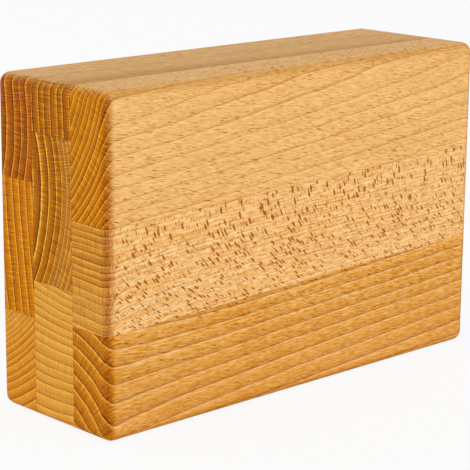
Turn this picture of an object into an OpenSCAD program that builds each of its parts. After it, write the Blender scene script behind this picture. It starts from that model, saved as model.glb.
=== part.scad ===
// Wooden yoga block: nine solid beech staves glued into one block, three layers of three staves.
// The staves run the full length of the block. The outer edges are rounded after the glue-up.
// Frame: origin at the middle of the underside, +X along the grain, +Y to the back face, +Z up.

/* [Block] */
// Length of the block, along the grain
block_length = 230; // [120:1:400]
// Depth of the block, from the front face to the back face
block_depth = 75; // [60:1:120]
// Height of the block as it stands on its long narrow face
block_height = 150; // [125:1:240]
// Radius of the rounded edges and ball corners
edge_radius = 5; // [1:0.5:12]

/* [Layers] */
// Thickness of the front layer, from the front face to its glue joint
front_layer = 23.5; // [14:0.5:30]
// Thickness of the back layer, from the back face to its glue joint
back_layer = 25; // [14:0.5:30]

/* [Front staves] */
// Width of the front layer's bottom stave at the left end of the block
front_bottom_left = 47; // [25:1:65]
// Width of the front layer's bottom stave at the right end of the block
front_bottom_right = 55; // [25:1:65]
// Width of the front layer's top stave at the left end of the block
front_top_left = 57; // [25:1:70]
// Width of the front layer's top stave at the right end of the block
front_top_right = 50; // [25:1:70]

/* [Core staves] */
// Width of the core layer's bottom stave
core_bottom_width = 62; // [20:1:90]
// Width of the core layer's top stave
core_top_width = 23; // [16:1:60]

/* [Back staves] */
// Width of the back layer's bottom stave
back_bottom_width = 45; // [20:1:70]
// Width of the back layer's top stave
back_top_width = 45; // [20:1:70]

/* [Hidden] */
$fn = 48;

// How far a stave's sawn blank stands past the finished block before its outer faces are cut
allowance = 2 * edge_radius;
blank_end = block_length / 2 + allowance;

// Depth of each face and glue joint between layers, from the middle of the block
front_face = -block_depth / 2;
front_joint = front_face + front_layer;
back_face = block_depth / 2;
back_joint = back_face - back_layer;

// A glue joint between two staves of a layer: its heights at the left and right ends of the block
front_lower_joint = [front_bottom_left, front_bottom_right];
front_upper_joint = [block_height - front_top_left, block_height - front_top_right];
core_lower_joint = [core_bottom_width, core_bottom_width];
core_upper_joint = [block_height - core_top_width, block_height - core_top_width];
back_lower_joint = [back_bottom_width, back_bottom_width];
back_upper_joint = [block_height - back_top_width, block_height - back_top_width];
blank_bottom = [-allowance, -allowance];
blank_top = [block_height + allowance, block_height + allowance];

// Height of a joint at a place along the block, on the straight line through its two ends
function joint_height(joint, x) = joint[0] + (joint[1] - joint[0]) * (x / block_length + 1 / 2);

// The finished outside of the block: flat faces, quarter-round edges and ball corners
module rounded_block() {
    size = [block_length, block_depth, block_height];
    inner = [for (side = size) side - 2 * edge_radius];
    // Turns the cylinder's own axis on to each of the block's three directions
    turns = [[0, 90, 0], [90, 0, 0], [0, 0, 0]];
    translate([0, 0, block_height / 2]) {
        for (axis = [0:2]) {
            cube([for (i = [0:2]) i == axis ? size[i] : inner[i]], center = true);
            for (a = [-1, 1], b = [-1, 1])
                translate([for (i = [0:2]) i == axis ? 0 : (i == (axis + 1) % 3 ? a : b) * inner[i] / 2])
                    rotate(turns[axis])
                        cylinder(h = inner[axis], r = edge_radius, center = true);
        }
        for (a = [-1, 1], b = [-1, 1], c = [-1, 1])
            translate([a * inner[0], b * inner[1], c * inner[2]] / 2)
                sphere(r = edge_radius);
    }
}

// One stave: a sawn blank between two joints of its layer, cut to the outside of the block
module stave(lower, upper, from_y, to_y) {
    intersection() {
        translate([0, to_y, 0])
            rotate([90, 0, 0])
                linear_extrude(height = to_y - from_y)
                    polygon([
                        [-blank_end, joint_height(lower, -blank_end)],
                        [blank_end, joint_height(lower, blank_end)],
                        [blank_end, joint_height(upper, blank_end)],
                        [-blank_end, joint_height(upper, -blank_end)]
                    ]);
        rounded_block();
    }
}

// A stave of each layer, between the joints that bound it below and above
module front_stave(lower, upper) {
    stave(lower, upper, front_face - allowance, front_joint);
}

module core_stave(lower, upper) {
    stave(lower, upper, front_joint, back_joint);
}

module back_stave(lower, upper) {
    stave(lower, upper, back_joint, back_face + allowance);
}

module front_top_stave() {
    color([0.90, 0.70, 0.42]) front_stave(front_upper_joint, blank_top);
}

module front_middle_stave() {
    color([0.93, 0.75, 0.50]) front_stave(front_lower_joint, front_upper_joint);
}

module front_bottom_stave() {
    color([0.85, 0.60, 0.31]) front_stave(blank_bottom, front_lower_joint);
}

module core_top_stave() {
    color([0.64, 0.38, 0.14]) core_stave(core_upper_joint, blank_top);
}

module core_middle_stave() {
    color([0.79, 0.52, 0.20]) core_stave(core_lower_joint, core_upper_joint);
}

module core_bottom_stave() {
    color([0.80, 0.53, 0.21]) core_stave(blank_bottom, core_lower_joint);
}

module back_top_stave() {
    color([0.62, 0.36, 0.12]) back_stave(back_upper_joint, blank_top);
}

module back_middle_stave() {
    color([0.75, 0.48, 0.17]) back_stave(back_lower_joint, back_upper_joint);
}

module back_bottom_stave() {
    color([0.78, 0.52, 0.25]) back_stave(blank_bottom, back_lower_joint);
}

front_top_stave();
front_middle_stave();
front_bottom_stave();
core_top_stave();
core_middle_stave();
core_bottom_stave();
back_top_stave();
back_middle_stave();
back_bottom_stave();
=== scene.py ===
import math

import bpy
from mathutils import Matrix, Vector


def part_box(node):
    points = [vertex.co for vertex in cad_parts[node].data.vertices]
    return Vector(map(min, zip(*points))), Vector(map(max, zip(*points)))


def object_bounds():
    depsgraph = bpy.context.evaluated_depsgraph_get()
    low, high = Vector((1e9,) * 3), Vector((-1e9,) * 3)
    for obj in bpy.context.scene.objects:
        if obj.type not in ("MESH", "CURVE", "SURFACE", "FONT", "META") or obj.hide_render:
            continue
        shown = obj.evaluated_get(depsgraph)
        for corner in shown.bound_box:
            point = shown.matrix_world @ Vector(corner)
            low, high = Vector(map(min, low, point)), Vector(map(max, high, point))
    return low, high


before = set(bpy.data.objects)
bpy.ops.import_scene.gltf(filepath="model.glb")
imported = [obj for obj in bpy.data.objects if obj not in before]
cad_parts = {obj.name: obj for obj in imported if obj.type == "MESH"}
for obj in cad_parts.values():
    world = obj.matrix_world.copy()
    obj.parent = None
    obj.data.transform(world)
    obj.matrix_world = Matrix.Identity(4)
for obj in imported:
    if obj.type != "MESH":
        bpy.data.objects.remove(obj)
cad_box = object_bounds()


# Front layer
# Three beech staves sawn full length and glued edge to edge, then glued to the core. They carry the wide
# front face. The panel was glued a little askew, so its joints and its grain climb towards the right end.
MM = 1000.0
block_low, block_high = (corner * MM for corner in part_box("core_middle_stave"))
left_end, block_length = block_low.x, block_high.x - block_low.x
outer_face = max(abs(corner.y) for corner in cad_box) * MM
clear_of_face = 1.0


class Wire:
    """A socket of a material's nodes. Arithmetic on wires and numbers adds Math nodes."""

    def __init__(self, tree, socket):
        self.tree = tree
        self.socket = socket

    def node(self, kind, settings=None, sockets=None, output=0):
        """Adds a node to the same tree: first its settings, then the values or links of its sockets."""
        made = self.tree.nodes.new(kind)
        for name, value in (settings or {}).items():
            setattr(made, name, value)
        for key, value in (sockets or {}).items():
            if isinstance(value, Wire):
                self.tree.links.new(value.socket, made.inputs[key])
            else:
                made.inputs[key].default_value = value
        return Wire(self.tree, made.outputs[output])

    def out(self, name):
        """Another output of the node that this wire leaves."""
        return Wire(self.tree, self.socket.node.outputs[name])

    def feed(self, node, name):
        """Runs this wire into a socket of a node that is there already."""
        self.tree.links.new(self.socket, node.inputs[name])

    def math(self, operation, *others):
        values = dict(enumerate((self,) + others))
        return self.node("ShaderNodeMath", {"operation": operation}, values)

    def __add__(self, other):
        return self.math("ADD", other)

    def __radd__(self, other):
        return self.math("ADD", other)

    def __sub__(self, other):
        return self.math("SUBTRACT", other)

    def __rsub__(self, other):
        return (self * -1.0).math("ADD", other)

    def __mul__(self, other):
        return self.math("MULTIPLY", other)

    def __rmul__(self, other):
        return self.math("MULTIPLY", other)

    def __truediv__(self, other):
        return self.math("DIVIDE", other)

    def __pow__(self, other):
        return self.math("POWER", other)

    def ramp(self, low, high):
        """Rises smoothly from 0 at low to 1 at high, or falls where high is the smaller."""
        sockets = {"Value": self, "From Min": low, "From Max": high}
        return self.node("ShaderNodeMapRange", {"interpolation_type": "SMOOTHSTEP"}, sockets)


def vector(x, y, z):
    return x.node("ShaderNodeCombineXYZ", None, {0: x, 1: y, 2: z})


def mixed(colour, other, amount):
    """Two colours, plain ones or wires, mixed by a wire. Sockets 6 and 7 are the Mix node's colours."""
    first, second = (one if isinstance(one, Wire) else (*one, 1.0) for one in (colour, other))
    return amount.node("ShaderNodeMix", {"data_type": "RGBA"}, {0: amount, 6: first, 7: second}, output=2)


def noise(x, y, z, detail=2.0):
    """Soft noise about zero, between about -0.5 and 0.5, in the units of its three wires."""
    sockets = {"Vector": vector(x, y, z), "Scale": 1.0, "Detail": detail, "Roughness": 0.55}
    return x.node("ShaderNodeTexNoise", None, sockets) - 0.5


def rays(across, along, depth, half_size, share):
    """Medullary rays: flat spindles set edge-on to the rings, some dark and most of them faint."""
    half_cell = 0.35
    rim, heart = 0.42, 0.24
    thick, tall, deep = (half / half_cell for half in half_size)
    cells = {"Vector": vector(across / thick, along / tall, depth / deep), "Scale": 1.0, "Randomness": 1.0}
    distance = across.node("ShaderNodeTexVoronoi", {"feature": "F1"}, cells)
    lot = distance.node("ShaderNodeSeparateColor", None, {0: distance.out("Color")})
    return distance.ramp(rim, heart) * (1.0 - lot / share).math("MAXIMUM", 0.0)


def beech(name, wood, joints):
    """Oiled beech as a solid: rings and rays run through the stave, so end grain and faces agree."""
    material = bpy.data.materials.new(name)
    material.use_nodes = True
    tree = material.node_tree
    shader = tree.nodes["Principled BSDF"]
    place = Wire(tree, shader.outputs["BSDF"]).node("ShaderNodeTexCoord").out("Object")
    parts = place.node("ShaderNodeSeparateXYZ", None, {0: place})
    x, y, z = (parts.out(axis) * MM for axis in "XYZ")

    def drifting(length, width, detail=2.0):
        """Noise that changes over this length along the block and this width across it."""
        return noise(x / length, y / width, z / width, detail)

    # Places in the stave: along its fibres, out along the growth and sideways round the rings
    along = x - left_end
    growth = math.radians(wood["growth"])
    growth_y, growth_z = math.cos(growth), math.sin(growth)
    middle_y, middle_z = wood["middle"]
    sideways = y - middle_y
    upwards = z - middle_z
    outward = sideways * growth_y + upwards * growth_z
    round_ring = upwards * growth_y - sideways * growth_z
    bow, fan = wood["bow"], wood["fan"]
    across = round_ring - outward * round_ring * bow - outward * outward * (fan / 2)
    across = across - along * wood["skew"]
    depth = outward + round_ring * round_ring * (bow / 2) + outward * round_ring * fan
    # Rings sway, and they draw together over the first part of the length, as they do past a branch
    sway = drifting(length=70.0, width=22.0) * wood["sway"]
    sway = sway + drifting(length=28.0, width=6.0, detail=4.0) * wood["wave"]
    crowding_speed = 6.0
    crowding = 1.0 - (1.0 - along / block_length) ** crowding_speed
    depth = depth + sway - along * wood["slant"] - upwards * crowding * wood["crowding"]

    # Year rings: pale early wood darkens slowly to late wood, then a sharp step to the next year
    lean_from, lean_extra = wood["lean_years"]
    years = depth / wood["ring"] + depth * depth * wood["ring_change"] + wood["ring_start"]
    years = years + (depth - lean_from).math("MAXIMUM", 0.0) * lean_extra
    change_per_year = 0.45
    years = years + noise(years * change_per_year, wood["ring"], 0.0) * wood["irregular"]
    season = years.math("FRACT")
    year = years.math("FLOOR")
    spring_season, late_season = (0.2, 0.0), (0.84, 0.97)
    spring_line = season.ramp(*spring_season)
    # The late line differs in strength from year to year, and along and across the stave
    fortune = year.node("ShaderNodeTexWhiteNoise", {"noise_dimensions": "1D"}, {"W": year})
    patch_length, patch_width = 12.0, 3.0
    patches = noise(along / patch_length, across / patch_width, year)
    late_least, late_by_year, late_by_patch = 0.4, 0.5, 0.6
    late_line = season.ramp(*late_season) * (fortune * late_by_year + late_least + patches * late_by_patch)

    # Noise in the wood. The number beside a direction says how often it changes over a millimetre of it
    bands = noise(depth * 1.1, across * 0.04, along * 0.006)
    streak = noise(across * 2.8, depth, along * 0.15)
    ray_lines = noise(across * 1.9, along * 0.3, depth * 0.1, detail=3.0)
    speckle = noise(sideways * 3.5, upwards * 3.5, along * 0.5)

    # End grain drinks more oil and turns darker and richer than the long grain
    normal = place.node("ShaderNodeSeparateXYZ", None, {0: place.out("Normal")})
    towards_end, towards_face, towards_top = (normal.out(axis) ** 2.0 for axis in "XYZ")
    long_slope, end_slope = 0.1, 0.95
    end_grain = (towards_end ** 0.5).ramp(long_slope, end_slope)
    long_grain = 1.0 - end_grain

    # Colour of the end: late wood darkens it, spring wood lights it up, and some staves have a paler part
    paler = depth.ramp(*wood["paler"])
    end_summer, end_line, end_bands, pale_loss = 0.7, 0.55, 0.9, 0.2
    end_late = season ** wood["summer"] * end_summer + late_line * end_line + bands * end_bands
    end_colour = mixed(wood["end_pale"], wood["end_dark"], end_late * (1.0 - paler * pale_loss))
    spring_on_end, paler_end, paler_share = (0.98, 0.52, 0.06), (0.8, 0.44, 0.12), 0.15
    end_colour = mixed(end_colour, spring_on_end, spring_line * wood["spring"])
    end_colour = mixed(end_colour, paler_end, paler * paler_share)

    # Colour of the faces: the same rings, softer, with pale lines of spring wood
    summer_bend = 1.6
    face_late = season ** summer_bend * wood["summer_face"] + late_line * wood["late_face"]
    face_late = face_late * wood["face_rings"] + bands * wood["bands"]
    face_colour = mixed(wood["pale"], wood["dark"], face_late)
    spring_on_face = (1.0, 0.76, 0.42)
    light_lines = spring_line * wood["spring_face"] - bands * wood["light_bands"]
    face_colour = mixed(face_colour, spring_on_face, light_lines)

    # Rays: dark spindles on a plain-sawn face, flecks on a quarter-sawn one. Somewhere on a rounded edge
    # they lie along the surface and would show as arrowheads, so they fade there
    fade_on_edge = 8.0
    flat = (1.0 - towards_face * towards_top * fade_on_edge).math("MAXIMUM", 0.0)
    big_rays = rays(across, along, depth, wood["ray"], wood["ray_share"]) * flat
    face_colour = mixed(face_colour, wood["ray_colour"], big_rays * wood["ray_dark"])
    # Small rays stand among the big ones and show more towards the late wood
    shift_across, shift_along, spring_rays = 7.3, 3.1, 0.4
    small_rays = rays(across + shift_across, along + shift_along, depth, wood["small_ray"], share=1.0)
    small_dark = small_rays * wood["small_ray_dark"] * (season + spring_rays)
    face_colour = mixed(face_colour, wood["ray_colour"], small_dark)
    colour = mixed(face_colour, end_colour, end_grain)

    # Light and dark: fibre streaks, slow drifts, darker wood near the heart, glue joints, and rounded edges
    # that are partly painted shade
    drift_share, heart_dark = 0.1, 0.16
    shade = streak * wood["streak"] + drifting(length=60.0, width=14.0) * drift_share
    shade = shade - depth.ramp(*wood["heart"]) * long_grain * heart_dark
    # Rounded edges beside the front and back faces are darker, darkest half way round: partly cut fibres
    # taking more oil, partly painted shade
    end_edge_oil_and_shade, long_edge_oil_and_shade = 1.1, 0.6
    shade = shade - (towards_end * end_edge_oil_and_shade + towards_top * long_edge_oil_and_shade) * towards_face
    joint_reach, joint_heart, joint_dark = 0.45, 0.1, 0.12
    for axis, left, rise in joints:
        gap = ((y if axis == "y" else z) - left - along * rise).math("ABSOLUTE")
        shade = shade - gap.ramp(joint_reach, joint_heart) * joint_dark
    speckle_share = 0.9
    shade = shade + (ray_lines * wood["ray_lines"] + speckle * speckle_share) * end_grain
    # Darker wood is redder and richer too, so hue and saturation follow the value
    plain_hue, redder, richer = 0.5, 0.04, 0.5
    hue = shade * redder + plain_hue
    saturation = 1.0 - shade * long_grain * richer
    tone = {"Hue": hue, "Saturation": saturation, "Value": shade + 1.0, "Color": colour}
    colour.node("ShaderNodeHueSaturation", None, tone).feed(shader, "Base Color")

    # Planed and oiled to a soft sheen: fibres stand up a little, rays lie a little lower
    fibre_height, ray_depth = 0.8, 0.6
    relief = streak * fibre_height - big_rays * long_grain * ray_depth + ray_lines * end_grain
    height = {"Height": relief, "Strength": 0.25, "Distance": 0.0002}
    relief.node("ShaderNodeBump", None, height).feed(shader, "Normal")
    plain_rough, fibre_rough, end_rough = 0.54, 0.12, 0.08
    (plain_rough + streak * fibre_rough + end_grain * end_rough).feed(shader, "Roughness")
    shader.inputs["Specular IOR Level"].default_value = 0.06
    return material


def dress(node, wood, below=None, above=None):
    """Gives a stave its wood, with a dark line where it is glued to the other layers and its neighbours."""
    # A side that is clear of the front and back faces is a joint between layers
    low, high = (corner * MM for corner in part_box(node))
    joints = [("y", side.y, 0.0) for side in (low, high) if abs(side.y) < outer_face - clear_of_face]
    for lower, upper in ((below, node), (node, above)):
        if lower and upper:
            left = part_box(upper)[0].z * MM
            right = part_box(lower)[1].z * MM
            joints.append(("z", left, (right - left) / block_length))
    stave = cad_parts[node]
    stave.data.materials.clear()
    stave.data.materials.append(beech(node + "_beech", wood, joints))


# What the staves share, unless a stave's own values replace it. Lengths are in millimetres. A stave's middle
# is the place that its rings are measured from, and growth the way they grow: 0 degrees to the back, 90 up.
common = {
    # Course of the rings and rays: lean along the block, fan, crowding, slow sway and quick wave
    "slant": 0.0, "skew": 0.03, "fan": 0.0, "crowding": 0.0, "sway": 1.2, "wave": 0.6,
    # Widths of the years: where they start, how they change and thin out, and how unlike they are
    "ring_start": 0.0, "ring_change": 0.0, "lean_years": (0.0, 0.0), "irregular": 1.2,
    # Depths over which an end turns paler and a face darker, out of reach unless a stave says otherwise
    "paler": (100.0, 110.0), "heart": (100.0, 110.0),
    # How strongly late wood, spring wood and bands of years show, on the end and on the faces
    "summer": 1.0, "spring": 0.9, "summer_face": 0.2, "late_face": 0.8, "spring_face": 0.15,
    "face_rings": 0.7, "bands": 0.4, "light_bands": 0.3,
    # Fibre streaks, ray lines on the end, and rays by half their thickness, height and depth
    "streak": 0.6, "ray_lines": 1.5,
    "ray": (0.13, 1.7, 8.0), "ray_share": 0.18, "ray_dark": 1.9,
    "small_ray": (0.1, 1.4, 6.0), "small_ray_dark": 0.8,
    "ray_colour": (0.48, 0.12, 0.0), "pale": (0.92, 0.52, 0.18), "dark": (0.6, 0.25, 0.04),
}
dress("front_top_stave", common | {
    "middle": (-24.0, 120.0), "growth": -150.0, "bow": 0.0096, "slant": -0.05, "skew": 0.12,
    "ring": 2.9, "ray_dark": 1.3,
    "pale": (0.945, 0.546, 0.192),
    "end_pale": (0.83, 0.285, 0.0), "end_dark": (0.25, 0.044, 0.0),
}, below="front_middle_stave")
dress("front_middle_stave", common | {
    "middle": (-25.0, 100.0), "growth": -90.0, "bow": 0.0, "fan": 0.0017, "slant": -0.037, "skew": -0.052,
    "crowding": 0.2, "ring": 2.54, "ring_start": 0.2, "ring_change": -0.0018, "paler": (30.0, 40.0),
    "late_face": 1.5, "spring_face": 0.6, "face_rings": 0.9, "bands": 1.2, "light_bands": 2.4,
    "streak": 0.9, "ray_lines": 1.0,
    "ray": (0.036, 1.5, 2.1), "ray_share": 0.75, "ray_dark": 2.3, "ray_colour": (0.44, 0.125, 0.005),
    "small_ray": (0.024, 0.6, 1.0),
    "pale": (0.98, 0.555, 0.189), "dark": (0.76, 0.33, 0.075),
    "end_pale": (0.87, 0.376, 0.046), "end_dark": (0.33, 0.087, 0.004),
}, below="front_bottom_stave", above="front_top_stave")
dress("front_bottom_stave", common | {
    "middle": (-23.4, 24.7), "growth": -57.0, "bow": -0.019, "slant": -0.055, "skew": -0.0654,
    "crowding": 0.23, "wave": 1.1, "ring": 6.2, "ring_start": 0.48, "irregular": 0.4,
    "summer": 0.6, "summer_face": 0.58, "late_face": 0.42, "spring_face": 0.38, "face_rings": 0.75,
    "streak": 0.9, "ray_dark": 0.5, "ray_colour": (0.4, 0.11, 0.0),
    "pale": (0.885, 0.424, 0.081), "dark": (0.4, 0.12, 0.008),
    "end_pale": (0.88, 0.324, 0.014), "end_dark": (0.27, 0.054, 0.0),
}, above="front_middle_stave")


# Core layer
# Three beech staves glued between the front and back layers, seen on the ends, the top and the underside.
# Their joints are stepped against those of the outer layers, so no two joints line up through the block.
dress("core_top_stave", common | {
    "middle": (-0.75, 138.5), "growth": -2.2, "bow": 0.0033, "slant": -0.03,
    "ring": 4.34, "ring_start": 0.03, "heart": (4.0, -9.0), "summer": 0.6, "spring": 0.6,
    "ray_lines": 2.0, "ray_dark": 0.1, "small_ray_dark": 0.2,
    "pale": (0.805, 0.448, 0.149),
    "end_pale": (0.74, 0.228, 0.0), "end_dark": (0.13, 0.02, 0.0),
}, below="core_middle_stave")
dress("core_middle_stave", common | {
    "middle": (-0.75, 104.0), "growth": 180.0, "bow": 0.0124,
    "ring": 5.4, "ring_start": 0.45, "lean_years": (6.0, 0.16), "paler": (5.0, 10.0),
    "summer": 0.8, "spring": 1.2, "ray_lines": 2.0,
    "end_pale": (0.71, 0.228, 0.0), "end_dark": (0.15, 0.026, 0.0),
}, below="core_bottom_stave", above="core_top_stave")
dress("core_bottom_stave", common | {
    "middle": (-12.0, 31.0), "growth": -90.0, "bow": 0.006, "fan": -0.0039,
    "ring": 3.9, "ring_start": 0.5, "ring_change": -0.001, "ray_lines": 0.7,
    "end_pale": (0.97, 0.49, 0.072), "end_dark": (0.52, 0.175, 0.015),
}, above="core_middle_stave")


# Back layer
# Three beech staves with the back face on them, glued edge to edge with level joints and then to the core.
# All nine staves were glued up rough, planed flush together and rounded along the outer edges afterwards.
dress("back_top_stave", common | {
    "middle": (25.0, 130.0), "growth": 180.0, "bow": 0.0111, "slant": 0.03,
    "ring": 5.57, "ring_start": 0.05, "summer": 0.6, "spring": 0.6, "ray_lines": 2.0, "ray_dark": 0.5,
    "pale": (0.86, 0.50, 0.18),
    "end_pale": (0.73, 0.188, 0.0), "end_dark": (0.12, 0.014, 0.0),
}, below="back_middle_stave")
dress("back_middle_stave", common | {
    "middle": (25.0, 75.0), "growth": -6.0, "bow": 0.002, "slant": -0.035, "ring": 4.85,
    "end_pale": (0.84, 0.28, 0.0), "end_dark": (0.27, 0.05, 0.0),
}, below="back_bottom_stave", above="back_top_stave")
dress("back_bottom_stave", common | {
    "middle": (23.4, 26.2), "growth": -125.0, "bow": 0.0112,
    "ring": 2.8, "ring_change": -0.0035, "paler": (-4.0, -14.0), "ray_lines": 0.7,
    "end_pale": (0.93, 0.387, 0.03), "end_dark": (0.4, 0.099, 0.0024),
}, above="back_middle_stave")


# Floor and light
# A wide sheet of white paper under the block, which takes its soft shadow, and even white light from all
# round it. Three square lamps stand about two metres off, to the front, to the left and behind.
white = (1.0, 1.0, 1.0, 1.0)


def shown_to_camera(wire):
    """1 for what the camera sees, also in metal or glass, and 0 for light that falls on other things."""
    path = wire.node("ShaderNodeLightPath")
    shown = path.out("Is Camera Ray")
    for kind in ("Is Glossy Ray", "Is Transmission Ray"):
        shown = shown.math("MAXIMUM", path.out(kind))
    return shown


floor_reach, floor_drop = 6.0, -0.0001
corner_sides = ((-1, -1), (1, -1), (1, 1), (-1, 1))
floor_corners = [(x * floor_reach, y * floor_reach, floor_drop) for x, y in corner_sides]
floor_mesh = bpy.data.meshes.new("floor")
floor_mesh.from_pydata(floor_corners, [], [(0, 1, 2, 3)])
floor = bpy.data.objects.new("floor", floor_mesh)
bpy.context.scene.collection.objects.link(floor)
floor_material = bpy.data.materials.new("white_floor")
floor_material.use_nodes = True
floor_nodes = floor_material.node_tree.nodes
paper_shader = floor_nodes["Principled BSDF"]
paper_shader.inputs["Base Color"].default_value = (0.94, 0.94, 0.94, 1.0)
paper_shader.inputs["Roughness"].default_value = 0.9
paper_shader.inputs["Specular IOR Level"].default_value = 0.0
paper = Wire(floor_material.node_tree, paper_shader.outputs["BSDF"])
glow = paper.node("ShaderNodeEmission", None, {"Color": white, "Strength": 1.0})
glow_share = 0.9
sweep = {0: shown_to_camera(paper) * glow_share, 1: paper, 2: glow}
paper.node("ShaderNodeMixShader", None, sweep).feed(floor_nodes["Material Output"], "Surface")
floor_mesh.materials.append(floor_material)

world = bpy.data.worlds.new("studio")
bpy.context.scene.world = world
world.use_nodes = True
world_nodes = world.node_tree.nodes
surround_shader = world_nodes["Background"]
surround_shader.inputs["Color"].default_value = white
surround_shader.inputs["Strength"].default_value = 0.53
surround = Wire(world.node_tree, surround_shader.outputs["Background"])
backdrop = surround.node("ShaderNodeBackground", None, {"Color": white, "Strength": 1.0})
studio = {0: shown_to_camera(surround), 1: surround, 2: backdrop}
surround.node("ShaderNodeMixShader", None, studio).feed(world_nodes["World Output"], "Surface")
block_middle = (cad_box[0] + cad_box[1]) / 2


def softbox(name, place, width, watts):
    """A square lamp that faces the middle of the block."""
    lamp = bpy.data.lights.new(name, "AREA")
    lamp.shape = "SQUARE"
    lamp.size = width
    lamp.energy = watts
    stand = bpy.data.objects.new(name, lamp)
    stand.location = place
    stand.rotation_euler = (block_middle - Vector(place)).to_track_quat("-Z", "Y").to_euler()
    bpy.context.scene.collection.objects.link(stand)


softbox("front_softbox", place=(0.4, -1.9, 0.7), width=1.4, watts=14.0)
softbox("left_softbox", place=(-1.8, -0.3, 0.6), width=1.2, watts=6.6)
softbox("back_softbox", place=(-0.7, 1.9, 0.5), width=1.4, watts=12.0)
bpy.context.scene.view_settings.view_transform = "Standard"


# Camera
# The photograph's view: from the front left and a little above, through a long lens. Its place, turn and
# focal length are those of a camera fitted to the straight edges of the block's outline.
azimuth, elevation, roll = (math.radians(degrees) for degrees in (-43.26, 13.74, 0.45))
looks_at = Vector((-0.0341, -0.0277, 0.0763))
distance = 0.8207
frame_pixels, focal_pixels, sensor = 470.0, 1852.4, 36.0
back = Vector((
    math.sin(azimuth) * math.cos(elevation),
    -math.cos(azimuth) * math.cos(elevation),
    math.sin(elevation),
))
level = back.cross(Vector((0, 0, -1))).normalized()
upright = back.cross(level)
right = level * math.cos(roll) + upright * math.sin(roll)
up = upright * math.cos(roll) - level * math.sin(roll)
lens = bpy.data.cameras.new("camera")
lens.sensor_width = sensor
lens.lens = sensor * focal_pixels / frame_pixels
camera = bpy.data.objects.new("camera", lens)
turned = Matrix((right, up, back)).transposed().to_4x4()
camera.matrix_world = Matrix.Translation(looks_at + back * distance) @ turned
bpy.context.scene.collection.objects.link(camera)
bpy.context.scene.camera = camera
